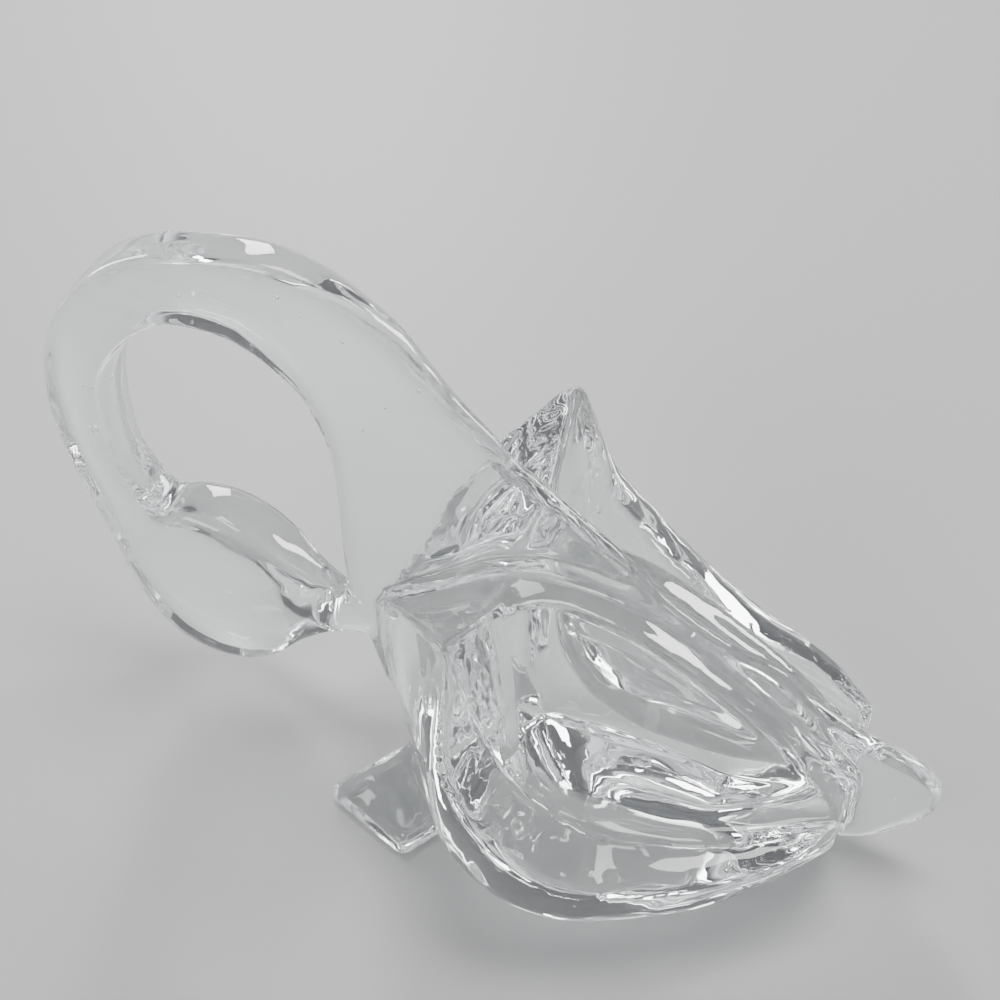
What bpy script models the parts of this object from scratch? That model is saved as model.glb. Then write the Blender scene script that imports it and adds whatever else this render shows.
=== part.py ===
"""A swan paperweight, drawn and pressed from one gather of clear glass.

Metres, +Z up. The swan faces -X and its tail points to +X; it is the same on both sides of the
plane y = 0. The origin is under the middle of its length, on the surface that it stands on.
The free forms are written as shares of LENGTH: (along, up) or (along, out, up), where along
runs from just before the neck's arch, at 0, to the tip of the tail, at 1.
"""

import math

import bmesh
import bpy
import numpy as np
from mathutils import Matrix

LENGTH = 0.167  # the free forms are shares of it; the swan is 3 mm shorter
NECK_WIDTH = 0.0119  # the squarish bar of the arch, seen from the side
NECK_THICKNESS = 0.0136  # the same bar across
BLADE_THICKNESS = 0.0047  # the upright fin that joins neck, breast and back
TAIL_THICKNESS = 0.0050
HEAD_THICKNESS = 0.0150  # across the lobe of the head, between its flattened sides
BEAK_THICKNESS = 0.0052
BAND_REACH = 0.0088  # from the middle plane to the scoop's inner edge
FLOOR_GLASS = 0.0100  # glass left under the deepest point of a scoop
FOOT_WIDTH = 0.0190
FOOT_THICKNESS = 0.0046
FOOT_REACH = 0.0307  # from the foot's root inside the breast to its inner front corner
FOOT_SLANT = 0.0034  # how much further back its outer front corner is
FOOT_SPLAY = math.radians(56)  # from straight ahead
FOOT_ROUND = 0.0012  # rounding of the feet's edges
MOST_FOOT_ROUND = 0.30  # of the feet's thickness

BREAST_ALONG = 0.368  # where the wings' walls begin, behind the beak
TIP_ALONG = 0.533  # where a wing's tip stands, and its scoop begins
REAR_ALONG = 0.908  # where the wings are cut off square

# The middle line of the underside, from the keel to the root of the tail: (along, up).
KEEL_LINE = (
    (BREAST_ALONG, 0.140), (0.378, 0.098), (0.392, 0.057), (0.407, 0.026), (0.430, 0.006),
    (0.460, 0.000), (0.800, 0.000), (0.856, 0.004), (REAR_ALONG, 0.019),
)
# Where the underside turns up into a wing's wall: (along, out, up).
BASE_EDGE = (
    (BREAST_ALONG, 0.001, 0.142),
    (0.392, 0.006, 0.062), (0.407, 0.016, 0.028), (0.430, 0.040, 0.007),
    (0.460, 0.074, 0.000), (0.493, 0.113, 0.000), (0.533, 0.146, 0.000), (0.571, 0.166, 0.000),
    (0.620, 0.177, 0.000), (0.655, 0.175, 0.000), (0.709, 0.157, 0.000), (0.758, 0.139, 0.001),
    (0.800, 0.126, 0.016), (0.835, 0.105, 0.038), (0.867, 0.082, 0.058),
    (REAR_ALONG, 0.058, 0.084),
)
# The widest line of a wing's wall.
WALL_LINE = (
    (BREAST_ALONG, 0.002, 0.160),
    (0.379, 0.013, 0.185), (0.403, 0.046, 0.238), (0.430, 0.092, 0.284),
    (0.459, 0.132, 0.280), (0.493, 0.186, 0.240), (0.533, 0.244, 0.236), (0.548, 0.252, 0.222),
    (0.571, 0.259, 0.200), (0.596, 0.262, 0.171), (0.650, 0.255, 0.131), (0.704, 0.233, 0.112),
    (0.769, 0.197, 0.110), (0.813, 0.173, 0.113), (0.856, 0.145, 0.116), (0.888, 0.114, 0.119),
    (REAR_ALONG, 0.090, 0.123),
)
# The leading edge of a wing, from the breast up to its tip.
LEADING_EDGE = (
    (BREAST_ALONG, 0.002, 0.172),
    (0.379, 0.012, 0.198), (0.403, 0.049, 0.262), (0.430, 0.098, 0.316),
    (0.459, 0.130, 0.343), (0.493, 0.164, 0.367), (0.517, 0.190, 0.385),
    (TIP_ALONG, 0.201, 0.388),
)
# The scoop's outer rim, from the wing's tip down and back to its rear corner.
RIM_LINE = (
    (TIP_ALONG, 0.201, 0.388), (0.541, 0.201, 0.376), (0.549, 0.197, 0.335), (0.558, 0.192, 0.291),
    (0.571, 0.186, 0.250),
    (0.596, 0.189, 0.213), (0.650, 0.182, 0.163), (0.704, 0.170, 0.138), (0.769, 0.150, 0.128),
    (0.813, 0.136, 0.131), (0.856, 0.113, 0.136), (0.888, 0.088, 0.139),
    (REAR_ALONG, 0.071, 0.141),
)
# How far the scoop's inner edge stands out past the band beside the fin: (along, out).
INNER_EDGE = (
    (TIP_ALONG, 0.144), (0.537, 0.088), (0.543, 0.050), (0.552, 0.026), (0.566, 0.008),
    (0.596, 0.000), (0.860, 0.000), (REAR_ALONG, 0.010),
)
# The height of that inner edge where it crosses from the tip to the band.
CROSSING = (
    (TIP_ALONG, 0.380), (0.537, 0.350), (0.543, 0.331), (0.552, 0.321), (0.566, 0.319),
)
# The top of the band that runs along each side of the fin: (along, up).
BAND_LINE = (
    (BREAST_ALONG, 0.176), (0.379, 0.200), (0.410, 0.228), (0.451, 0.256), (0.488, 0.286),
    (0.515, 0.303), (0.574, 0.321), (0.607, 0.321), (0.639, 0.315), (0.672, 0.305),
    (0.709, 0.286), (0.751, 0.260), (0.793, 0.231), (0.836, 0.198), (0.872, 0.160),
    (REAR_ALONG, 0.124),
)
# How high the scoop's floor lies above its deepest point: (along, up).
FLOOR_LINE = (
    (TIP_ALONG, 0.300), (0.543, 0.245), (0.552, 0.172), (0.571, 0.100), (0.596, 0.053),
    (0.628, 0.020), (0.661, 0.006), (0.704, 0.000), (0.769, 0.004), (0.813, 0.017),
    (0.856, 0.038), (0.888, 0.056), (REAR_ALONG, 0.066),
)
FOOT_ROOT = (0.5127, 0.0154)  # middle of the foot's hidden end: (along, out)

# How the curves of a wing's cut bend, as shares of the spans that they cross.
SCOOP_DEEPEST = 0.52  # from the scoop's inner edge, over its width
SCOOP_LEADS = (0.06, 0.55, 0.34, 0.40, 0.04, 0.60)  # undercut, drop, floor, floor, undercut, drop
WALL_LEADS = (0.48, 0.14, 0.45)  # outward and upward from the base, downward from the widest line
LIP_LEADS = (0.50, 0.45)  # upward from the widest line, outward from the rim
TIP_LIP_LEADS = (0.15, 0.45)  # added by the tip, where the lip is a steep upright wall
TIP_LIP_END = 0.596  # how far along that steeper lip fades out
SHOULDER_LEAD = 0.40  # from the leading edge towards the widest line
LEAST_RIM_WIDTH = 0.002  # of LENGTH, between the scoop's two edges
LEAST_SCOOP_DEPTH = 0.004  # of LENGTH, below the lower edge
WIDEST_BAND = 0.80  # of the way to the leading edge, where the breast is narrow
BAND_HALFWAY = 0.45  # an added row of points along the band

# The fin, from the tail over the back and up the neck: outer edge, inner edge, and its
# thickness as a share of the fin's own.
FIN_EDGES = (
    ((0.9990, 0.131), (0.9985, 0.118), 0.30),
    ((0.9925, 0.150), (0.9900, 0.096), 0.85),
    ((0.9600, 0.171), (0.9530, 0.052), 1.00),
    ((0.9080, 0.188), (0.9120, 0.023), 1.00),
    ((0.8550, 0.218), (0.8560, 0.018), 1.00),
    ((0.8130, 0.252), (0.8130, 0.018), 1.00),
    ((0.7570, 0.272), (0.7500, 0.018), 1.00),
    ((0.6960, 0.309), (0.6720, 0.018), 1.00),
    ((0.6400, 0.362), (0.5960, 0.018), 1.00),
    ((0.5830, 0.409), (0.5000, 0.018), 1.00),
    ((0.5540, 0.432), (0.4400, 0.025), 1.00),
    ((0.5320, 0.447), (0.3900, 0.056), 1.00),
    ((0.5210, 0.459), (0.3690, 0.110), 1.00),
    ((0.5120, 0.470), (0.3560, 0.166), 1.00),
    ((0.4970, 0.485), (0.3420, 0.220), 1.05),
    ((0.4720, 0.509), (0.3380, 0.306), 1.14),
    ((0.4410, 0.545), (0.3330, 0.405), 1.26),
    ((0.4060, 0.586), (0.3080, 0.476), 1.42),
    ((0.3480, 0.624), (0.2750, 0.513), 1.62),
    ((0.2910, 0.640), (0.2510, 0.530), 1.83),
)
# The arch of the neck as a squarish bar: middle point, slant of the cut across it in degrees,
# and its width and thickness as shares of the neck's own.
ROD_LINE = (
    ((0.2330, 0.589), 90, 1.40, 0.69),
    ((0.1710, 0.581), 107, 1.18, 0.76),
    ((0.1200, 0.553), 124, 1.11, 0.84),
    ((0.0840, 0.510), 141, 1.04, 0.90),
    ((0.0615, 0.463), 156, 1.01, 0.93),
    ((0.0535, 0.412), 170, 1.00, 0.86),
    ((0.0560, 0.360), 184, 1.00, 0.78),
    ((0.0655, 0.311), 199, 1.00, 0.73),
)
# The lobe of the head and the beak: lower edge, upper edge, thickness as a share of the head's.
HEAD_EDGES = (
    ((0.0625, 0.208), (0.1330, 0.275), 0.70),
    ((0.0870, 0.140), (0.1640, 0.281), 0.84),
    ((0.1290, 0.083), (0.2050, 0.280), 0.96),
    ((0.1880, 0.058), (0.2420, 0.266), 0.96),
    ((0.2430, 0.070), (0.2730, 0.246), 0.82),
)
# The beak, the same way, with its own thickness.
BEAK_EDGES = (
    ((0.2860, 0.106), (0.3000, 0.226), 1.75),
    ((0.3200, 0.126), (0.3250, 0.211), 1.10),
    ((0.3520, 0.136), (0.3520, 0.198), 0.90),
    ((0.3760, 0.140), (0.3760, 0.190), 0.80),
)

TAIL_CUTS = 4  # the first cuts of the fin belong to the tail
FIN_SQUARENESS = 5.0  # 2 is an ellipse, and more is closer to a rectangle
NECK_SQUARENESS = 5.2
HEAD_SQUARENESS = 4.4
BEAK_SQUARENESS = 3.2
LEAST_STEP_TO_TIP = 0.006  # the evenly spaced cuts keep this clear of the tip
TIP_CUTS = (0.537, 0.543, 0.552, 0.561)  # closer cuts where the scoop opens

WALL_STEPS = 6
LIP_STEPS = 5
SCOOP_STEPS = 7
RING_POINTS = 16
STATION_STEP = 0.020
STEPS_BETWEEN = 3  # rings for each given one along the fin, rod and head
FOOT_EDGE_STEPS = 2
SHARP_EDGE = math.radians(35)


def smooth_slopes(knots, values):
    """Slopes at the knots for a smooth curve that never overshoots them."""
    gaps = np.diff(knots)
    rates = np.diff(values) / gaps
    slopes = np.zeros(len(knots))
    slopes[0], slopes[-1] = rates[0], rates[-1]
    for i in range(1, len(knots) - 1):
        before, after = rates[i - 1], rates[i]
        if before * after > 0:
            slopes[i] = 2.0 * before * after / (before + after)
    return slopes


def read_line(line, along, column):
    """The value in one column of a line of the swan, at a place along it."""
    knots = np.array([point[0] for point in line])
    values = np.array([point[column] for point in line])
    slopes = smooth_slopes(knots, values)
    along = min(max(along, knots[0]), knots[-1])
    i = min(int(np.searchsorted(knots, along, side="right")) - 1, len(knots) - 2)
    gap = knots[i + 1] - knots[i]
    t = (along - knots[i]) / gap
    return (
        values[i] * (1 + 2 * t) * (1 - t) ** 2
        + slopes[i] * gap * t * (1 - t) ** 2
        + values[i + 1] * t * t * (3 - 2 * t)
        + slopes[i + 1] * gap * t * t * (t - 1)
    )


def out_and_up(line, along):
    return np.array([read_line(line, along, 1), read_line(line, along, 2)])


def bezier(start, lead_out, lead_in, end, steps):
    """Points of a cubic curve after its start, up to and with its end."""
    points = []
    for k in range(1, steps + 1):
        t = k / steps
        points.append(
            start * (1 - t) ** 3
            + 3 * lead_out * t * (1 - t) ** 2
            + 3 * lead_in * t * t * (1 - t)
            + end * t ** 3
        )
    return points


def scoop_points(rim, inner, floor_up, steps):
    """The hollow of a scoop, from its rim down to the floor and up to its inner edge."""
    width = rim[0] - inner[0]
    deepest = np.array([inner[0] + SCOOP_DEEPEST * width, floor_up])
    outer_drop = rim[1] - floor_up
    inner_drop = inner[1] - floor_up
    undercut, drop, floor_out, floor_in, undercut_in, drop_in = SCOOP_LEADS
    down = bezier(
        rim,
        rim - np.array([undercut * width, drop * outer_drop]),
        deepest + np.array([floor_out * width, 0.0]),
        deepest,
        steps,
    )
    up = bezier(
        deepest,
        deepest - np.array([floor_in * width, 0.0]),
        inner + np.array([undercut_in * width, -drop_in * inner_drop]),
        inner,
        steps,
    )
    return down + up


def half_section(along):
    """One side of the body cut across at a place along it, as (out, up) in metres."""
    keel = np.array([0.0, read_line(KEEL_LINE, along, 1)]) * LENGTH
    base = out_and_up(BASE_EDGE, along) * LENGTH
    wall = out_and_up(WALL_LINE, along) * LENGTH
    band_up = read_line(BAND_LINE, along, 1) * LENGTH
    has_scoop = along >= TIP_ALONG
    rim = out_and_up(RIM_LINE if has_scoop else LEADING_EDGE, along) * LENGTH
    reach = min(BAND_REACH, WIDEST_BAND * rim[0])
    if has_scoop:
        inner_out = BAND_REACH + read_line(INNER_EDGE, along, 1) * LENGTH
        inner_up = band_up
        if along <= CROSSING[-1][0]:
            inner_up = max(band_up, read_line(CROSSING, along, 1) * LENGTH)
        inner = np.array([min(inner_out, rim[0] - LEAST_RIM_WIDTH * LENGTH), inner_up])
        floor_up = FLOOR_GLASS + read_line(FLOOR_LINE, along, 1) * LENGTH
        floor_up = min(floor_up, min(rim[1], inner[1]) - LEAST_SCOOP_DEPTH * LENGTH)
        hollow = scoop_points(rim, inner, floor_up, SCOOP_STEPS)
        steep = min(max((TIP_LIP_END - along) / (TIP_LIP_END - TIP_ALONG), 0.0), 1.0)
        lip_out = LIP_LEADS[1] + steep * TIP_LIP_LEADS[0]
        lip_down = steep * TIP_LIP_LEADS[1]
        lip_lead = rim + np.array([lip_out * (wall[0] - rim[0]), lip_down * (wall[1] - rim[1])])
    else:
        inner = np.array([reach, band_up])
        count = 2 * SCOOP_STEPS
        hollow = [rim + (inner - rim) * k / count for k in range(1, count + 1)]
        lip_lead = rim + SHOULDER_LEAD * (wall - rim)
    rise = wall[1] - base[1]
    out_lead, up_lead, down_lead = WALL_LEADS
    side = bezier(
        base,
        base + np.array([out_lead * (wall[0] - base[0]), up_lead * rise]),
        wall - np.array([0.0, down_lead * rise]),
        wall,
        WALL_STEPS,
    )
    wall_lead = wall + np.array([0.0, LIP_LEADS[0] * (rim[1] - wall[1])])
    lip = bezier(wall, wall_lead, lip_lead, rim, LIP_STEPS)
    band_inside = np.array([BAND_HALFWAY * reach, band_up])
    return [keel, base] + side + lip + hollow + [band_inside, np.array([0.0, band_up])]


def world_x(along):
    return (along - 0.5) * LENGTH


def body_rings():
    """Closed cuts across the breast and the wings, from the keel to the square rear end."""
    count = round((REAR_ALONG - BREAST_ALONG) / STATION_STEP)
    plain_cuts = np.linspace(BREAST_ALONG, REAR_ALONG, count + 1)
    cuts = [along for along in plain_cuts if abs(along - TIP_ALONG) > LEAST_STEP_TO_TIP]
    rings = []
    for along in sorted([*cuts, TIP_ALONG, *TIP_CUTS]):
        half = half_section(along)
        x = world_x(along)
        ring = [(x, out, up) for out, up in half]
        ring += [(x, -out, up) for out, up in reversed(half[1:-1])]
        rings.append(ring)
    return rings


def through(stations, steps, ahead=None, beyond=None):
    """A smooth curve through all the stations, heading in from ahead and out to beyond."""
    ahead = 2 * stations[0] - stations[1] if ahead is None else ahead
    beyond = 2 * stations[-1] - stations[-2] if beyond is None else beyond
    padded = [ahead, *stations, beyond]
    result = []
    for i in range(1, len(padded) - 2):
        before, here, there, after = padded[i - 1 : i + 3]
        for k in range(steps):
            t = k / steps
            result.append(
                0.5
                * (
                    2 * here
                    + (there - before) * t
                    + (2 * before - 5 * here + 4 * there - after) * t * t
                    + (3 * here - before - 3 * there + after) * t ** 3
                )
            )
    result.append(stations[-1])
    return result


def edge_station(outer, inner, half_thickness, squareness):
    """Middle x and z, the half width vector from the middle to the outer edge, and the rest."""
    outer = np.array([world_x(outer[0]), outer[1] * LENGTH])
    inner = np.array([world_x(inner[0]), inner[1] * LENGTH])
    middle = (outer + inner) / 2
    half = (outer - inner) / 2
    return np.array([middle[0], middle[1], half[0], half[1], half_thickness, squareness])


def rod_station(middle, slant, width, thickness):
    angle = math.radians(slant)
    half = 0.5 * NECK_WIDTH * width
    across = (half * math.cos(angle), half * math.sin(angle))
    half_thickness = 0.5 * NECK_THICKNESS * thickness
    place = (world_x(middle[0]), middle[1] * LENGTH)
    return np.array([*place, *across, half_thickness, NECK_SQUARENESS])


def ring_at(station):
    """A closed ring in the plane of the station's width and y."""
    x, z, half_x, half_z, half_thickness, squareness = station
    ring = []
    for k in range(RING_POINTS):
        angle = 2 * math.pi * k / RING_POINTS
        across, side = (
            math.copysign(abs(part) ** (2.0 / squareness), part) if abs(part) > 1e-9 else 0.0
            for part in (math.cos(angle), math.sin(angle))
        )
        ring.append((x + half_x * across, half_thickness * side, z + half_z * across))
    return ring


def fin_stations():
    stations = []
    for number, (outer, inner, share) in enumerate(FIN_EDGES):
        thickness = TAIL_THICKNESS if number < TAIL_CUTS else BLADE_THICKNESS
        stations.append(edge_station(outer, inner, 0.5 * thickness * share, FIN_SQUARENESS))
    return stations


def neck_stations():
    """The arch of the neck, the lobe of the head and the beak."""
    stations = [rod_station(*place) for place in ROD_LINE]
    stations[0][2] = 0.0  # cut straight up through the top, where the fin meets it
    for lower, upper, share in HEAD_EDGES:
        stations.append(edge_station(lower, upper, 0.5 * HEAD_THICKNESS * share, HEAD_SQUARENESS))
    for lower, upper, share in BEAK_EDGES:
        stations.append(edge_station(lower, upper, 0.5 * BEAK_THICKNESS * share, BEAK_SQUARENESS))
    return stations


def fin_rings():
    neck = neck_stations()
    curve = through(fin_stations() + [neck[0]], STEPS_BETWEEN, beyond=neck[1])
    return [ring_at(station) for station in curve]


def neck_rings():
    curve = through(neck_stations(), STEPS_BETWEEN, ahead=fin_stations()[-1])
    return [ring_at(station) for station in curve]


def new_object(name, bm):
    bmesh.ops.recalc_face_normals(bm, faces=bm.faces)
    mesh = bpy.data.meshes.new(name)
    bm.to_mesh(mesh)
    bm.free()
    obj = bpy.data.objects.new(name, mesh)
    bpy.context.scene.collection.objects.link(obj)
    return obj


def loft(name, rings):
    """A closed solid through a row of rings, with a flat cap at each end."""
    bm = bmesh.new()
    rows = [[bm.verts.new(point) for point in ring] for ring in rings]
    count = len(rings[0])
    for row, following in zip(rows, rows[1:]):
        for k in range(count):
            after = (k + 1) % count
            bm.faces.new((row[k], row[after], following[after], following[k]))
    bm.faces.new(rows[0])
    bm.faces.new(rows[-1])
    return new_object(name, bm)


def foot(name, side):
    """A flat tab on the surface, splayed out from under the breast, with rounded edges."""
    root = np.array([world_x(FOOT_ROOT[0]), FOOT_ROOT[1] * LENGTH])
    ahead = np.array([-math.cos(FOOT_SPLAY), math.sin(FOOT_SPLAY)])
    across = np.array([ahead[1], -ahead[0]])
    reaches = (0.0, FOOT_REACH, FOOT_REACH - FOOT_SLANT, 0.0)
    bm = bmesh.new()
    corners = []
    for reach, half in zip(reaches, (-0.5, -0.5, 0.5, 0.5)):
        x, y = root + ahead * reach + across * half * FOOT_WIDTH
        corners.append(bm.verts.new((x, side * y, 0.0)))
    face = bm.faces.new(corners)
    raised = bmesh.ops.extrude_face_region(bm, geom=[face])["geom"]
    tops = [item for item in raised if isinstance(item, bmesh.types.BMVert)]
    bmesh.ops.translate(bm, verts=tops, vec=(0.0, 0.0, FOOT_THICKNESS))
    tab = new_object(name, bm)
    bevel = tab.modifiers.new("Rounded edges", "BEVEL")
    bevel.width = min(FOOT_ROUND, MOST_FOOT_ROUND * FOOT_THICKNESS)
    bevel.segments = FOOT_EDGE_STEPS
    return tab


def centre_over_origin(objects):
    """Slides every piece along x, so that the origin is under the middle of the whole length."""
    places = [vertex.co.x for obj in objects for vertex in obj.data.vertices]
    shift = Matrix.Translation((-0.5 * (min(places) + max(places)), 0.0, 0.0))
    for obj in objects:
        obj.data.transform(shift)


def clear_glass():
    material = bpy.data.materials.new("clear glass")
    material.use_nodes = True
    shader = material.node_tree.nodes["Principled BSDF"]
    shader.inputs["Base Color"].default_value = (0.96, 0.98, 0.98, 1.0)
    shader.inputs["Roughness"].default_value = 0.02
    shader.inputs["Metallic"].default_value = 0.0
    shader.inputs["IOR"].default_value = 1.52
    shader.inputs["Transmission Weight"].default_value = 1.0
    return material


def fuse(whole, piece):
    """Melts a piece into the whole, and keeps it as a hidden guide."""
    union = whole.modifiers.new(f"Fuse {piece.name}", "BOOLEAN")
    union.operation = "UNION"
    union.solver = "EXACT"
    union.object = piece
    piece.hide_render = True
    piece.display_type = "WIRE"


def build():
    for obj in list(bpy.data.objects):
        bpy.data.objects.remove(obj, do_unlink=True)
    swan = loft("swan", body_rings())
    additions = [loft("fin", fin_rings()), loft("neck", neck_rings())]
    additions += [foot("foot_left", -1), foot("foot_right", 1)]
    centre_over_origin([swan, *additions])
    for piece in additions:
        fuse(swan, piece)
    swan.data.materials.append(clear_glass())
    swan.data.shade_smooth()
    swan.data.set_sharp_from_angle(angle=SHARP_EDGE)


build()
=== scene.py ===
import math

import bmesh
import bpy
import numpy as np
from mathutils import Matrix, Vector, noise


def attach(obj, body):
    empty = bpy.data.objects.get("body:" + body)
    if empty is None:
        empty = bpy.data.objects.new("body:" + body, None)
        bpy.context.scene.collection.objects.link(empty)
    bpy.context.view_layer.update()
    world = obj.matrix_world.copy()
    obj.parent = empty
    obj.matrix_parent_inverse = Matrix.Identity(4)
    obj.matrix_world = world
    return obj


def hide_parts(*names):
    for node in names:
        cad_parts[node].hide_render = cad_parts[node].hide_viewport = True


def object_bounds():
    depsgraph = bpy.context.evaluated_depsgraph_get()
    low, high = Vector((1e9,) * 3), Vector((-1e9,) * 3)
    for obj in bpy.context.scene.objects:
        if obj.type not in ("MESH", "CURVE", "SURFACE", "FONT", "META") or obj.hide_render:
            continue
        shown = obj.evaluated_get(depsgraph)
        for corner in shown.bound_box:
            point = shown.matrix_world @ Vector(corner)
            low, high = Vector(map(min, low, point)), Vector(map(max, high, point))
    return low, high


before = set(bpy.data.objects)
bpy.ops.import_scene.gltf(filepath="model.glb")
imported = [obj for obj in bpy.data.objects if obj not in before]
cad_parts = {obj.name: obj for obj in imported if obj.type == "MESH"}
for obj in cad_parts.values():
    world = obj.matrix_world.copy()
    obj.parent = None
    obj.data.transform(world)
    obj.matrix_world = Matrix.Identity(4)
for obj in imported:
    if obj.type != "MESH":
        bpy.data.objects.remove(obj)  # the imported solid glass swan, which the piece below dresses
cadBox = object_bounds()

# One solid piece of clear glass: a swan with a looped neck, two scooped wings, a fin from the
# neck over the back to the tail, and two flat feet. Metres, +Z up, facing -X. Its free forms are
# shares of its length: (along, up) or (along, out, up), where along is 0 in front of the neck's
# arch and 1 at the tip of the tail. Each form is drawn as a closed skin, all of them are melted
# into one, and that skin is eased as the fire eases glass.

swanSizes = {
    "length": 0.167,
    "neckWidth": 0.0119,  # the squarish bar of the arch, seen from the side
    "neckThickness": 0.0136,
    "bladeThickness": 0.0047,  # the fin
    "tailThickness": 0.0050,
    "headThickness": 0.0150,
    "beakThickness": 0.0052,
    "bandReach": 0.0088,  # from the middle to the scoop's inner edge
    "floorGlass": 0.0100,  # under the deepest point of a scoop
    "breastAlong": 0.368,  # shares of the length: where the wings start, are highest and end
    "tipAlong": 0.533,
    "rearAlong": 0.908,
}

footSizes = {
    "root": (0.5127, 0.0154),  # shares: along and out
    "width": 0.0190,
    "thickness": 0.0046,
    "reach": 0.0307,
    "slant": 0.0034,  # the outer front corner is this much further back
    "splay": math.radians(56),
    "edgeRound": 0.0012,
}

wingLines = {
    "keel": (
        (0.368, 0.140), (0.378, 0.098), (0.392, 0.057), (0.407, 0.026), (0.430, 0.006),
        (0.460, 0.000), (0.800, 0.000), (0.856, 0.004), (0.908, 0.019),
    ),
    "base": (
        (0.368, 0.001, 0.142), (0.392, 0.006, 0.062), (0.407, 0.016, 0.028),
        (0.430, 0.040, 0.007), (0.460, 0.074, 0.000), (0.493, 0.113, 0.000),
        (0.533, 0.146, 0.000), (0.571, 0.166, 0.000), (0.620, 0.177, 0.000),
        (0.655, 0.175, 0.000), (0.709, 0.157, 0.000), (0.758, 0.139, 0.001),
        (0.800, 0.126, 0.016), (0.835, 0.105, 0.038), (0.867, 0.082, 0.058),
        (0.908, 0.058, 0.084),
    ),
    "wall": (
        (0.368, 0.002, 0.160), (0.379, 0.013, 0.185), (0.403, 0.046, 0.238),
        (0.430, 0.092, 0.284), (0.459, 0.132, 0.280), (0.493, 0.186, 0.240),
        (0.533, 0.244, 0.236), (0.548, 0.252, 0.222), (0.571, 0.259, 0.200),
        (0.596, 0.262, 0.171), (0.650, 0.255, 0.131), (0.704, 0.233, 0.112),
        (0.769, 0.197, 0.110), (0.813, 0.173, 0.113), (0.856, 0.145, 0.116),
        (0.888, 0.114, 0.119), (0.908, 0.090, 0.123),
    ),
    "leading": (
        (0.368, 0.002, 0.172), (0.379, 0.012, 0.198), (0.403, 0.049, 0.262),
        (0.430, 0.098, 0.316), (0.459, 0.130, 0.343), (0.493, 0.164, 0.367),
        (0.517, 0.190, 0.385), (0.533, 0.201, 0.388),
    ),
    "rim": (
        (0.533, 0.201, 0.388), (0.541, 0.201, 0.376), (0.549, 0.197, 0.335),
        (0.558, 0.192, 0.291), (0.571, 0.186, 0.250), (0.596, 0.189, 0.213),
        (0.650, 0.182, 0.163), (0.704, 0.170, 0.138), (0.769, 0.150, 0.128),
        (0.813, 0.136, 0.131), (0.856, 0.113, 0.136), (0.888, 0.088, 0.139),
        (0.908, 0.071, 0.141),
    ),
    "inner": (  # out past the band
        (0.533, 0.144), (0.537, 0.088), (0.543, 0.050), (0.552, 0.026), (0.566, 0.008),
        (0.596, 0.000), (0.860, 0.000), (0.908, 0.010),
    ),
    "crossing": ((0.533, 0.380), (0.537, 0.350), (0.543, 0.331), (0.552, 0.321), (0.566, 0.319)),
    "band": (
        (0.368, 0.176), (0.379, 0.200), (0.410, 0.228), (0.451, 0.256), (0.488, 0.286),
        (0.515, 0.303), (0.574, 0.321), (0.607, 0.321), (0.639, 0.315), (0.672, 0.305),
        (0.709, 0.286), (0.751, 0.260), (0.793, 0.231), (0.836, 0.198), (0.872, 0.160),
        (0.908, 0.124),
    ),
    "floor": (  # up from the deepest point
        (0.533, 0.300), (0.543, 0.245), (0.552, 0.172), (0.571, 0.100), (0.596, 0.053),
        (0.628, 0.020), (0.661, 0.006), (0.704, 0.000), (0.769, 0.004), (0.813, 0.017),
        (0.856, 0.038), (0.888, 0.056), (0.908, 0.066),
    ),
}

wingJoins = {  # how a cut's lines run into each other, as shares of the spans that they cross
    "scoopDeepest": 0.52,  # of the way from the band to the rim
    "rimIn": 0.06,
    "rimDown": 0.55,
    "floorOut": 0.34,
    "floorIn": 0.40,
    "bandOut": 0.04,
    "bandDown": 0.60,
    "bandAtMost": 0.8,  # of the way out to the rim
    "bandCorner": 0.45,  # of the way out to the band's edge
    "leastWidth": 0.002,  # of the length, from the band to the rim
    "leastDepth": 0.004,  # of the length
    "steepUntil": 0.596,  # along, where the rim has come down from the tip
    "lipOut": 0.45,
    "steepLipOut": 0.15,
    "steepLipUp": 0.45,
    "shoulderLip": 0.4,
    "wallUp": 0.5,
    "wallDown": 0.45,
    "baseOut": 0.48,
    "baseUp": 0.14,
}

finCuts = {
    "edges": (  # outer edge, inner edge, share of the thickness
        ((0.9990, 0.131), (0.9985, 0.118), 0.30),
        ((0.9925, 0.150), (0.9900, 0.096), 0.85),
        ((0.9600, 0.171), (0.9530, 0.052), 1.00),
        ((0.9080, 0.188), (0.9120, 0.023), 1.00),
        ((0.8550, 0.218), (0.8560, 0.018), 1.00),
        ((0.8130, 0.252), (0.8130, 0.018), 1.00),
        ((0.7570, 0.272), (0.7500, 0.018), 1.00),
        ((0.6960, 0.309), (0.6720, 0.018), 1.00),
        ((0.6400, 0.362), (0.5960, 0.018), 1.00),
        ((0.5830, 0.409), (0.5000, 0.018), 1.00),
        ((0.5540, 0.432), (0.4400, 0.025), 1.00),
        ((0.5320, 0.447), (0.3900, 0.056), 1.00),
        ((0.5210, 0.459), (0.3690, 0.110), 1.00),
        ((0.5120, 0.470), (0.3560, 0.166), 1.00),
        ((0.4970, 0.485), (0.3420, 0.220), 1.05),
        ((0.4720, 0.509), (0.3380, 0.306), 1.14),
        ((0.4410, 0.545), (0.3330, 0.405), 1.26),
        ((0.4060, 0.586), (0.3080, 0.476), 1.42),
        ((0.3480, 0.624), (0.2750, 0.513), 1.62),
        ((0.2910, 0.640), (0.2510, 0.530), 1.83),
    ),
    "tailCuts": 4,
    "squareness": 5.0,  # 2 is an ellipse, and more is closer to a rectangle
}

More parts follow.
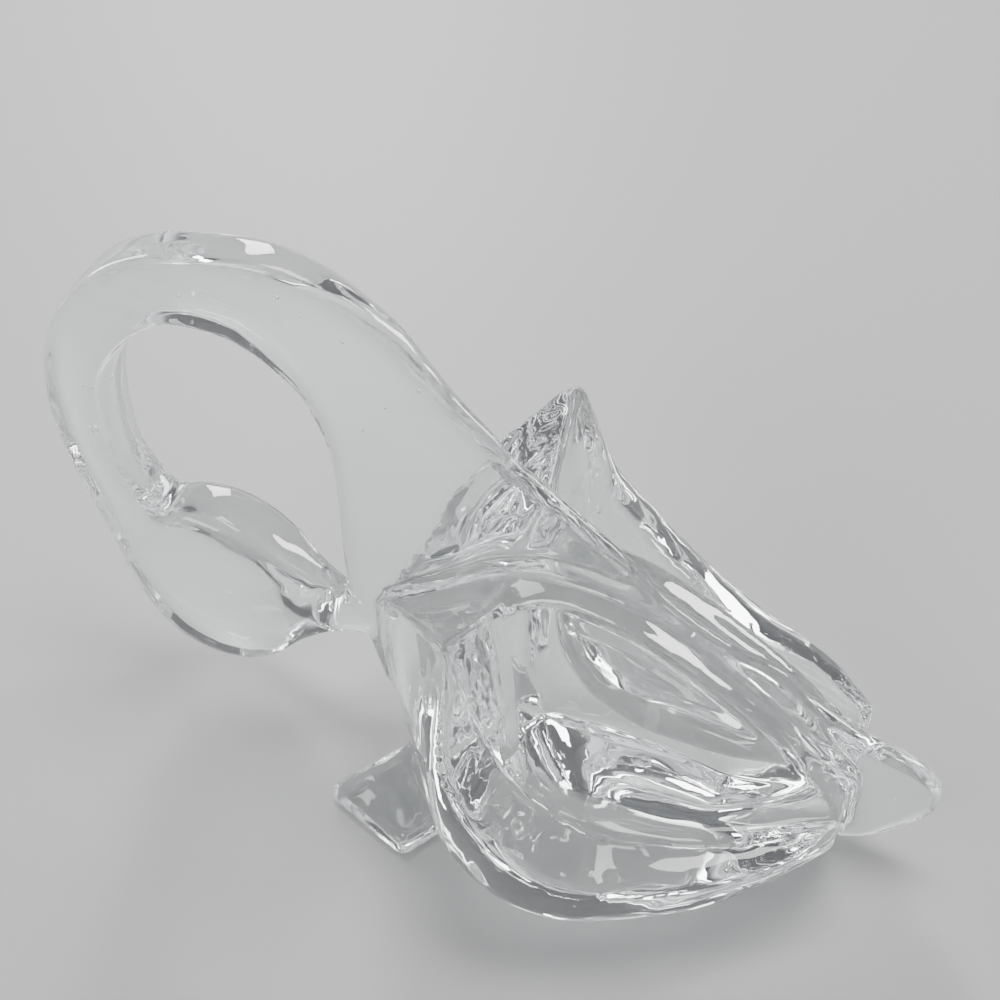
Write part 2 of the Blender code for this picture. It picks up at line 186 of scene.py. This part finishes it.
neckCuts = {
    "bar": (  # middle, slant in degrees, shares of the width and the thickness
        ((0.2330, 0.589), 90, 1.40, 0.69),
        ((0.1710, 0.581), 107, 1.18, 0.76),
        ((0.1200, 0.553), 124, 1.11, 0.84),
        ((0.0840, 0.510), 141, 1.04, 0.90),
        ((0.0615, 0.463), 156, 1.01, 0.93),
        ((0.0535, 0.412), 170, 1.00, 0.86),
        ((0.0560, 0.360), 184, 1.00, 0.78),
        ((0.0655, 0.311), 199, 1.00, 0.73),
    ),
    "barSquareness": 5.2,
    "head": (  # lower edge, upper edge, share of the thickness
        ((0.0625, 0.208), (0.1330, 0.275), 0.70),
        ((0.0870, 0.140), (0.1640, 0.281), 0.84),
        ((0.1290, 0.083), (0.2050, 0.280), 0.96),
        ((0.1880, 0.058), (0.2420, 0.266), 0.96),
        ((0.2430, 0.070), (0.2730, 0.246), 0.82),
    ),
    "headSquareness": 4.4,
    "beak": (
        ((0.2860, 0.106), (0.3000, 0.226), 1.75),
        ((0.3200, 0.126), (0.3250, 0.211), 1.10),
        ((0.3520, 0.136), (0.3520, 0.198), 0.90),
        ((0.3760, 0.140), (0.3760, 0.190), 0.80),
    ),
    "beakSquareness": 3.2,
}

meshing = {
    "station": 0.0045,  # of the length, between cuts across the body
    "tipGap": 0.001,  # of the length, kept clear ahead of the tip
    "tipSpan": 0.03,  # of the length, behind the tip, with closer cuts
    "tipCuts": 12,
    "wallSteps": 16,
    "lipSteps": 12,
    "scoopSteps": 20,
    "ringPoints": 96,
    "stepsBetween": 14,
    "footEdgeSteps": 4,
    "seedSides": 16,
    "seedRings": 10,
    "voxel": 0.00074,
    "softPasses": 4,  # these round the edges as the fire does
    "softWeights": (0.5,),
    "fairPasses": 24,  # these take the steps out, inward and outward by turns, and keep the form
    "fairWeights": (0.5, -0.53),
}

waverSizes = {
    "swell": 0.00022,  # slow rises and hollows, 16 mm across
    "swellSpan": 0.016,
    "mark": 0.00005,  # what the tools leave, 3.5 mm across
    "markSpan": 0.0035,
    "drawnSpan": 0.020,  # the marks are drawn out along the length
}

seeds = (  # air caught in the gather: shares along, out and up, lean, half length, half width
    ((0.0570, -0.012, 0.368), 96, 0.00125, 0.00070),
    ((0.0480, 0.010, 0.421), 84, 0.00060, 0.00035),
    ((0.0700, -0.020, 0.478), 55, 0.00045, 0.00030),
    ((0.1785, 0.000, 0.575), 10, 0.00050, 0.00028),
    ((0.2830, 0.002, 0.599), -8, 0.00055, 0.00030),
    ((0.3080, -0.004, 0.585), -20, 0.00032, 0.00024),
    ((0.3480, 0.000, 0.5626), -38, 0.00045, 0.00030),
    ((0.3628, 0.002, 0.4500), -75, 0.00050, 0.00034),
    ((0.3900, -0.002, 0.4900), -60, 0.00028, 0.00022),
    ((0.4240, 0.000, 0.5200), -45, 0.00036, 0.00026),
    ((0.2003, -0.018, 0.1729), -35, 0.00070, 0.00045),
    ((0.5440, 0.2095, 0.205), 60, 0.00120, 0.00085),
    ((0.6500, -0.222, 0.120), -12, 0.00050, 0.00034),
    ((0.9450, 0.002, 0.110), -15, 0.00040, 0.00028),
)


def readLine(line, along, column):  # a smooth line through its points, with no overshoot
    knots = np.array([row[0] for row in line])
    values = np.array([row[column] for row in line])
    gaps = np.diff(knots)
    rates = np.diff(values) / gaps
    slopes = np.concatenate(([rates[0]], np.zeros(len(knots) - 2), [rates[-1]]))
    for i in range(1, len(knots) - 1):
        if rates[i - 1] * rates[i] > 0:
            slopes[i] = 2 * rates[i - 1] * rates[i] / (rates[i - 1] + rates[i])
    along = min(max(along, knots[0]), knots[-1])
    i = min(int(np.searchsorted(knots, along, side="right")) - 1, len(knots) - 2)
    t = (along - knots[i]) / gaps[i]
    ends = values[i] * (1 + 2 * t) * (1 - t) ** 2 + values[i + 1] * t * t * (3 - 2 * t)
    return ends + gaps[i] * (slopes[i] * t * (1 - t) ** 2 + slopes[i + 1] * t * t * (t - 1))


def outAndUp(name, along):
    line = wingLines[name]
    return swanSizes["length"] * np.array([readLine(line, along, 1), readLine(line, along, 2)])


def bend(start, leadOut, leadIn, end, steps):  # a cubic curve, after its start
    t = np.linspace(0, 1, steps + 1)[1:, None]
    u = 1 - t
    return list(start * u ** 3 + 3 * leadOut * t * u * u + 3 * leadIn * t * t * u + end * t ** 3)


def scoopCurve(rim, inner, floorUp):
    j, steps = wingJoins, meshing["scoopSteps"]
    width = rim[0] - inner[0]
    deepest = np.array([inner[0] + j["scoopDeepest"] * width, floorUp])
    rimLead = rim - np.array([j["rimIn"] * width, j["rimDown"] * (rim[1] - floorUp)])
    innerLead = inner + np.array([j["bandOut"] * width, -j["bandDown"] * (inner[1] - floorUp)])
    outward = deepest + np.array([j["floorOut"] * width, 0])
    inward = deepest - np.array([j["floorIn"] * width, 0])
    down = bend(rim, rimLead, outward, deepest, steps)
    return down + bend(deepest, inward, innerLead, inner, steps)


def scoopedCut(along, rim, wall, bandUp):  # from the rim through the hollow to the band
    j, length, crossing = wingJoins, swanSizes["length"], wingLines["crossing"]
    innerUp = bandUp
    if along <= crossing[-1][0]:
        innerUp = max(bandUp, readLine(crossing, along, 1) * length)
    innerOut = swanSizes["bandReach"] + readLine(wingLines["inner"], along, 1) * length
    inner = np.array([min(innerOut, rim[0] - j["leastWidth"] * length), innerUp])
    floorUp = swanSizes["floorGlass"] + readLine(wingLines["floor"], along, 1) * length
    hollow = scoopCurve(rim, inner, min(floorUp, min(rim[1], inner[1]) - j["leastDepth"] * length))
    tipAlong = swanSizes["tipAlong"]
    steep = min(max((j["steepUntil"] - along) / (j["steepUntil"] - tipAlong), 0), 1)
    outward = (j["lipOut"] + j["steepLipOut"] * steep) * (wall[0] - rim[0])
    lipLead = rim + np.array([outward, j["steepLipUp"] * steep * (wall[1] - rim[1])])
    return hollow, lipLead


def shoulderCut(rim, wall, reach, bandUp):  # straight from the leading edge to the band
    inner = np.array([reach, bandUp])
    count = 2 * meshing["scoopSteps"]
    flat = [rim + (inner - rim) * k / count for k in range(1, count + 1)]
    return flat, rim + wingJoins["shoulderLip"] * (wall - rim)


def halfCut(along):  # one side of the body cut across: out and up
    j, length = wingJoins, swanSizes["length"]
    keel = np.array([0, readLine(wingLines["keel"], along, 1)]) * length
    base = outAndUp("base", along)
    wall = outAndUp("wall", along)
    bandUp = readLine(wingLines["band"], along, 1) * length
    hasScoop = along >= swanSizes["tipAlong"]
    rim = outAndUp("rim" if hasScoop else "leading", along)
    reach = min(swanSizes["bandReach"], j["bandAtMost"] * rim[0])
    if hasScoop:
        top, lipLead = scoopedCut(along, rim, wall, bandUp)
    else:
        top, lipLead = shoulderCut(rim, wall, reach, bandUp)
    rise = wall[1] - base[1]
    baseLead = base + np.array([j["baseOut"] * (wall[0] - base[0]), j["baseUp"] * rise])
    wallLead = wall - np.array([0, j["wallDown"] * rise])
    wallLift = wall + np.array([0, j["wallUp"] * (rim[1] - wall[1])])
    side = bend(base, baseLead, wallLead, wall, meshing["wallSteps"])
    lip = bend(wall, wallLift, lipLead, rim, meshing["lipSteps"])
    band = [np.array([j["bandCorner"] * reach, bandUp]), np.array([0, bandUp])]
    return [keel, base] + side + lip + top + band


def placeAlong(along):
    return (along - 0.5) * swanSizes["length"]


def bodyRings():
    first, tip, rear = (swanSizes[name] for name in ("breastAlong", "tipAlong", "rearAlong"))
    tipEnd = tip + meshing["tipSpan"]
    ahead = np.arange(first, tip - meshing["tipGap"], meshing["station"])
    opening = np.linspace(tip, tipEnd, meshing["tipCuts"])
    behind = np.linspace(tipEnd, rear, round((rear - tip) / meshing["station"]))[1:]
    rings = []
    for along in [*ahead, *opening, *behind]:
        half = halfCut(along)
        x = placeAlong(along)
        left = [(x, out, up) for out, up in half]
        right = [(x, -out, up) for out, up in reversed(half[1:-1])]
        rings.append(left + right)
    return rings


# A station is one cut of the fin or the neck: its middle, half its width, half its thickness
# and its squareness. A smooth curve runs through them all.
def throughStations(stations, ahead=None, beyond=None):
    steps = meshing["stepsBetween"]
    ahead = 2 * stations[0] - stations[1] if ahead is None else ahead
    beyond = 2 * stations[-1] - stations[-2] if beyond is None else beyond
    padded = [ahead, *stations, beyond]
    curve = []
    for before, here, there, after in zip(padded, padded[1:], padded[2:], padded[3:]):
        for t in np.arange(steps) / steps:
            bent = (there - before) * t + (2 * before - 5 * here + 4 * there - after) * t * t
            curve.append(0.5 * (2 * here + bent + (3 * here - before - 3 * there + after) * t ** 3))
    return curve + [stations[-1]]


def edgeStation(outer, inner, halfThickness, squareness):
    outer = np.array([placeAlong(outer[0]), outer[1] * swanSizes["length"]])
    inner = np.array([placeAlong(inner[0]), inner[1] * swanSizes["length"]])
    return np.array([*(outer + inner) / 2, *(outer - inner) / 2, halfThickness, squareness])


def ringAt(station):
    x, z, halfX, halfZ, halfThickness, squareness = station
    angle = 2 * np.pi * np.arange(meshing["ringPoints"]) / meshing["ringPoints"]
    turns = (np.cos(angle), np.sin(angle))
    across, side = (np.sign(turn) * np.abs(turn) ** (2 / squareness) for turn in turns)
    return list(zip(x + halfX * across, halfThickness * side, z + halfZ * across))


def finStations():
    stations = []
    for number, (outer, inner, share) in enumerate(finCuts["edges"]):
        thickness = swanSizes["tailThickness" if number < finCuts["tailCuts"] else "bladeThickness"]
        stations.append(edgeStation(outer, inner, 0.5 * thickness * share, finCuts["squareness"]))
    return stations


def neckStations():
    length = swanSizes["length"]
    stations = []
    for middle, slant, width, thickness in neckCuts["bar"]:
        half, turn = 0.5 * swanSizes["neckWidth"] * width, math.radians(slant)
        across = (half * math.cos(turn), half * math.sin(turn))
        place = (placeAlong(middle[0]), middle[1] * length)
        half = 0.5 * swanSizes["neckThickness"] * thickness
        stations.append(np.array([*place, *across, half, neckCuts["barSquareness"]]))
    stations[0][2] = 0  # cut straight up through the top, where the fin meets it
    for name in ("head", "beak"):
        for lower, upper, share in neckCuts[name]:
            half = 0.5 * swanSizes[name + "Thickness"] * share
            stations.append(edgeStation(lower, upper, half, neckCuts[name + "Squareness"]))
    return stations


def addLoft(bm, rings):
    rows = [[bm.verts.new(point) for point in ring] for ring in rings]
    count = len(rings[0])
    faces = [bm.faces.new(rows[0]), bm.faces.new(rows[-1])]
    for row, following in zip(rows, rows[1:]):
        for k in range(count):
            after = (k + 1) % count
            faces.append(bm.faces.new((row[k], row[after], following[after], following[k])))
    bmesh.ops.recalc_face_normals(bm, faces=faces)


def addFoot(bm, side):
    f = footSizes
    root = np.array([placeAlong(f["root"][0]), f["root"][1] * swanSizes["length"]])
    ahead = np.array([-math.cos(f["splay"]), math.sin(f["splay"])])
    across = np.array([ahead[1], -ahead[0]])
    reaches = (0, f["reach"], f["reach"] - f["slant"], 0)
    corners = []
    for reach, half in zip(reaches, (-0.5, -0.5, 0.5, 0.5)):
        x, y = root + ahead * reach + across * half * f["width"]
        corners.append(bm.verts.new((x, side * y, 0)))
    slab = [bm.faces.new(corners)]
    raised = bmesh.ops.extrude_face_region(bm, geom=slab)["geom"]
    tops = [item for item in raised if isinstance(item, bmesh.types.BMVert)]
    bmesh.ops.translate(bm, verts=tops, vec=(0, 0, f["thickness"]))
    edges = list({edge for vert in corners + tops for edge in vert.link_edges})
    rounded = bmesh.ops.bevel(
        bm, geom=edges, offset=f["edgeRound"], segments=meshing["footEdgeSteps"], profile=0.5,
        affect="EDGES")
    faces = list({face for vert in rounded["verts"] for face in vert.link_faces})
    bmesh.ops.recalc_face_normals(bm, faces=faces)


def waver(points, normals):  # the slow unevenness of hand work, and the marks of the tools
    w = waverSizes
    spans = np.array([w["drawnSpan"], w["markSpan"], w["markSpan"]])
    moved = points.copy()
    for k, (point, normal) in enumerate(zip(points, normals)):
        slow = noise.noise(Vector(point / w["swellSpan"]))
        marks = noise.noise(Vector(point / spans))
        moved[k] += normal * (w["swell"] * slow + w["mark"] * marks)
    return moved


def smoothPoints(points, pairs, passes, weights):  # each point moves towards its neighbours
    count = np.bincount(pairs.ravel(), minlength=len(points))[:, None]
    for _ in range(passes):
        for weight in weights:
            total = np.zeros_like(points)
            for column in range(3):
                total[:, column] = np.bincount(pairs[:, 0], points[pairs[:, 1], column], len(points))
                total[:, column] += np.bincount(pairs[:, 1], points[pairs[:, 0], column], len(points))
            points = points + weight * (total / count - points)
    return points


def makeSeeds():  # each is a small closed hollow, so it faces inward
    bm = bmesh.new()
    for (along, out, up), lean, halfLength, halfWidth in seeds:
        turned = Matrix.Rotation(-math.radians(lean), 4, "Y")
        size = Matrix.Diagonal((halfLength, halfWidth, halfWidth, 1))
        length = swanSizes["length"]
        place = Matrix.Translation((placeAlong(along), out * length, up * length))
        bmesh.ops.create_uvsphere(
            bm, u_segments=meshing["seedSides"], v_segments=meshing["seedRings"], radius=1,
            matrix=place @ turned @ size)
    bmesh.ops.reverse_faces(bm, faces=bm.faces)
    for face in bm.faces:
        face.smooth = True
    mesh = bpy.data.meshes.new("seeds")
    bm.to_mesh(mesh)
    bm.free()
    return mesh


def draftSwan(low, high):  # each form is a closed skin of its own, and they cross
    bm = bmesh.new()
    fin, neck = finStations(), neckStations()
    addLoft(bm, bodyRings())
    addLoft(bm, [ringAt(station) for station in throughStations(fin + [neck[0]], beyond=neck[1])])
    addLoft(bm, [ringAt(station) for station in throughStations(neck, ahead=fin[-1])])
    for side in (-1, 1):
        addFoot(bm, side)
    places = [vert.co.x for vert in bm.verts]
    middle = 0.5 * (low[0] + high[0]) - 0.5 * (min(places) + max(places))
    bmesh.ops.translate(bm, verts=bm.verts, vec=(middle, 0, 0))
    draft = bpy.data.meshes.new("swanDraft")
    bm.to_mesh(draft)
    bm.free()
    print("draft:", len(draft.polygons), "faces")
    return draft


def meltTogether(mesh):  # one even skin round all the forms
    draft = bpy.data.objects.new("swanDraft", mesh)
    bpy.context.scene.collection.objects.link(draft)
    melt = draft.modifiers.new("Melt together", "REMESH")
    melt.mode = "VOXEL"
    melt.voxel_size = meshing["voxel"]
    melt.use_smooth_shade = True
    evaluated = draft.evaluated_get(bpy.context.evaluated_depsgraph_get())
    melted = bpy.data.meshes.new_from_object(evaluated)
    bpy.data.objects.remove(draft)
    print("melted:", len(melted.polygons), "faces")
    return melted


def dropCrumbs(mesh):  # loose specks that the melt leaves inside the glass
    bm = bmesh.new()
    bm.from_mesh(mesh)
    waiting = set(bm.verts)
    islands = []
    while waiting:
        island = [waiting.pop()]
        for vert in island:  # it grows as it is read
            for edge in vert.link_edges:
                other = edge.other_vert(vert)
                if other in waiting:
                    waiting.remove(other)
                    island.append(other)
        islands.append(island)
    islands.sort(key=len)
    loose = [vert for island in islands[:-1] for vert in island]
    bmesh.ops.delete(bm, geom=loose, context="VERTS")
    bm.to_mesh(mesh)
    bm.free()
    print("crumbs dropped:", len(islands) - 1)


def easeSkin(mesh, low, high):
    points = np.empty(len(mesh.vertices) * 3)
    mesh.vertices.foreach_get("co", points)
    pairs = np.empty(len(mesh.edges) * 2, dtype=np.int32)
    mesh.edges.foreach_get("vertices", pairs)
    points, pairs = points.reshape(-1, 3), pairs.reshape(-1, 2)
    for kind in ("soft", "fair"):
        points = smoothPoints(points, pairs, meshing[kind + "Passes"], meshing[kind + "Weights"])
    mesh.vertices.foreach_set("co", points.ravel())
    mesh.update()
    normals = np.empty(points.size)
    mesh.vertices.foreach_get("normal", normals)
    points = waver(points, normals.reshape(-1, 3))
    points = np.clip(points, low, high)
    mesh.vertices.foreach_set("co", points.ravel())
    mesh.update()
    print("eased, corners:", points.min(0).round(4), points.max(0).round(4))


def makeSwan():
    low, high = (np.array(corner) for corner in cadBox)
    mesh = meltTogether(draftSwan(low, high))
    dropCrumbs(mesh)
    easeSkin(mesh, low, high)
    bm = bmesh.new()
    for part in (mesh, makeSeeds()):
        bm.from_mesh(part)
    bm.to_mesh(mesh)
    bm.free()
    mesh.name = "glassSwan"
    swan = bpy.data.objects.new("glassSwan", mesh)
    bpy.context.scene.collection.objects.link(swan)
    print("swan:", len(mesh.polygons), "faces")
    return swan


def linear(hexColour):
    values = [int(hexColour[i : i + 2], 16) / 255 for i in (1, 3, 5)]
    steps = [v / 12.92 if v <= 0.04045 else ((v + 0.055) / 1.055) ** 2.4 for v in values]
    return (*steps, 1.0)


def addNode(tree, kind, settings=None, values=None, links=None):
    node = tree.nodes.new(kind)
    for name, value in (settings or {}).items():
        setattr(node, name, value)
    for name, value in (values or {}).items():
        node.inputs[name].default_value = value
    for name, socket in (links or {}).items():
        tree.links.new(socket, node.inputs[name])
    return node


def newMaterial(name):
    material = bpy.data.materials.new(name)
    material.use_nodes = True
    material.node_tree.nodes.clear()
    return material, material.node_tree


glassFinish = {
    "colour": "#fcfefe",
    "ior": 1.52,
    "polish": 0.0,  # roughness where it is clean
    "handled": 0.035,  # roughness where hands have left a film
    "smudge": 0.018,  # fingerprints and wiped patches, 18 mm across
    "smudgeFrom": 0.5,
    "smudgeTo": 0.8,
    "ripple": 0.007,  # low waves 7 mm apart, left by the tools
    "rippleHeight": 0.00003,
}


def clearGlass():
    # Soda-lime glass, hand drawn and pressed hot, then fire polished: the eye sees it only by
    # its edges, its bent view of what is behind it, and the sharp lights on its curves.
    g = glassFinish
    material, tree = newMaterial("clearSodaLimeGlass")
    where = addNode(tree, "ShaderNodeTexCoord").outputs["Object"]
    smudges = addNode(
        tree, "ShaderNodeTexNoise", values={"Scale": 1 / g["smudge"], "Detail": 6, "Roughness": 0.6},
        links={"Vector": where})
    roughness = addNode(
        tree, "ShaderNodeMapRange",
        values={"From Min": g["smudgeFrom"], "From Max": g["smudgeTo"],
                "To Min": g["polish"], "To Max": g["handled"]},
        links={"Value": smudges.outputs["Fac"]})
    ripples = addNode(
        tree, "ShaderNodeTexNoise", values={"Scale": 1 / g["ripple"], "Detail": 1, "Roughness": 0.4},
        links={"Vector": where})
    bump = addNode(
        tree, "ShaderNodeBump", values={"Strength": 1, "Distance": g["rippleHeight"]},
        links={"Height": ripples.outputs["Fac"]})
    glass = addNode(
        tree, "ShaderNodeBsdfPrincipled",
        values={"Base Color": linear(g["colour"]), "IOR": g["ior"], "Transmission Weight": 1.0},
        links={"Roughness": roughness.outputs["Result"], "Normal": bump.outputs["Normal"]})
    addNode(tree, "ShaderNodeOutputMaterial", links={"Surface": glass.outputs["BSDF"]})
    return material


studio = {
    "floorSide": 10.0,
    "floorColour": "#a3a3a3",
    # the floor's far colour is painted light: the floor is painted paler from floorNear out to
    # floorFar, where the lamps bring less light
    "paintedFarLight": "#f2f2f2",
    "floorNear": 0.30,
    "floorFar": 1.10,
    "floorDrop": 0.0002,  # keeps it clear of the glass that stands on it
    "floorRoughness": 0.5,
    "floorIor": 1.4,
    "walls": 1.70,  # pale walls all round, and a dim ceiling above them
    "wallTop": 0.40,  # where the ceiling begins: the sine of its height over the horizon
    "ceiling": 0.19,
    "wallColour": "#e6e9ee",
    "camera": (0.0815, -0.2213, 0.3012),
    "tilt": 45,  # degrees up from straight down
    "turn": 20,  # degrees round from square on the side
    "lens": 72,
    "sensor": 36,
    "nearest": 0.01,
    "bounces": 28,  # light crosses this glass many times before it leaves
}

lamps = {  # place, aim, width and height, watts
    "windowLeft": ((-0.42, 0.80, 0.60), (0, 0, 0.03), (0.20, 0.46), 9),
    "windowRight": ((0.62, 0.66, 0.46), (0, 0, 0.03), (0.12, 0.50), 7),
    "overhead": ((0.05, 0.10, 1.05), (0, 0, 0), (0.60, 0.32), 10),
    "fill": ((-0.40, -0.72, 0.60), (0, 0, 0.03), (0.55, 0.30), 5.5),
    "stripLeft": ((-0.95, 0.30, 0.34), (0, 0, 0.05), (0.12, 0.55), 6),
}


def makeFloor():
    bm = bmesh.new()
    bmesh.ops.create_grid(bm, x_segments=2, y_segments=2, size=studio["floorSide"] / 2)
    mesh = bpy.data.meshes.new("studioFloor")
    bm.to_mesh(mesh)
    bm.free()
    floor = bpy.data.objects.new("studioFloor", mesh)
    bpy.context.scene.collection.objects.link(floor)
    floor.location.z = -studio["floorDrop"]
    material, tree = newMaterial("paleStudioPaper")  # smooth matt card, with painted light in its colour so that it reads as one even tone
    where = addNode(tree, "ShaderNodeTexCoord").outputs["Object"]
    distance = addNode(tree, "ShaderNodeVectorMath", {"operation": "LENGTH"}, links={0: where})
    paintedLightTone = addNode(  # painted light: paler further out, standing in for the lamps' light that falls off there
        tree, "ShaderNodeMapRange", settings={"interpolation_type": "SMOOTHSTEP"},
        values={"From Min": studio["floorNear"], "From Max": studio["floorFar"],
                "To Min": linear(studio["floorColour"])[0], "To Max": linear(studio["paintedFarLight"])[0]},
        links={"Value": distance.outputs["Value"]})
    paper = addNode(
        tree, "ShaderNodeBsdfPrincipled",
        values={"Roughness": studio["floorRoughness"], "IOR": studio["floorIor"]},
        links={"Base Color": paintedLightTone.outputs["Result"]})
    addNode(tree, "ShaderNodeOutputMaterial", links={"Surface": paper.outputs["BSDF"]})
    mesh.materials.append(material)


def addLight(name, place, aim, size, power):
    lamp = bpy.data.lights.new(name, "AREA")
    lamp.shape = "RECTANGLE"
    lamp.size, lamp.size_y = size
    lamp.energy = power
    obj = bpy.data.objects.new(name, lamp)
    obj.location = place
    away = np.array(place) - np.array(aim)
    tilt = math.atan2(math.hypot(away[0], away[1]), away[2])
    obj.rotation_euler = (tilt, 0, math.atan2(away[0], -away[1]))
    bpy.context.scene.collection.objects.link(obj)


def makeSurround():  # pale walls of light all round, and a dim ceiling
    world = bpy.data.worlds.new("studioWorld")
    world.use_nodes = True
    world.node_tree.nodes.clear()
    tree = world.node_tree
    where = addNode(tree, "ShaderNodeTexCoord").outputs["Generated"]
    height = addNode(tree, "ShaderNodeSeparateXYZ", links={"Vector": where}).outputs["Z"]
    walls = addNode(
        tree, "ShaderNodeMapRange", settings={"interpolation_type": "SMOOTHSTEP"},
        values={"From Min": 0.0, "From Max": studio["wallTop"],
                "To Min": studio["walls"], "To Max": studio["ceiling"]},
        links={"Value": height})
    glow = addNode(
        tree, "ShaderNodeBackground", values={"Color": linear(studio["wallColour"])},
        links={"Strength": walls.outputs["Result"]})
    addNode(tree, "ShaderNodeOutputWorld", links={"Surface": glow.outputs["Background"]})
    bpy.context.scene.world = world


def makeCamera():
    lens = bpy.data.cameras.new("camera")
    lens.lens = studio["lens"]
    lens.sensor_width = studio["sensor"]
    lens.clip_start = studio["nearest"]
    camera = bpy.data.objects.new("camera", lens)
    camera.location = studio["camera"]
    camera.rotation_euler = (math.radians(studio["tilt"]), 0, math.radians(studio["turn"]))
    bpy.context.scene.collection.objects.link(camera)
    bpy.context.scene.camera = camera


def makeStudio():
    makeFloor()
    for name, (place, aim, size, power) in lamps.items():
        addLight(name, place, aim, size, power)
    makeSurround()
    makeCamera()
    cycles = bpy.context.scene.cycles
    cycles.max_bounces = cycles.transmission_bounces = cycles.glossy_bounces = studio["bounces"]
    print("studio: floor, soft lights, surround, camera")


makeStudio()
swan = makeSwan()
swan.data.materials.clear()
swan.data.materials.append(clearGlass())
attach(swan, "root")
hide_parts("swan")
print("glass: clear, fire polished")
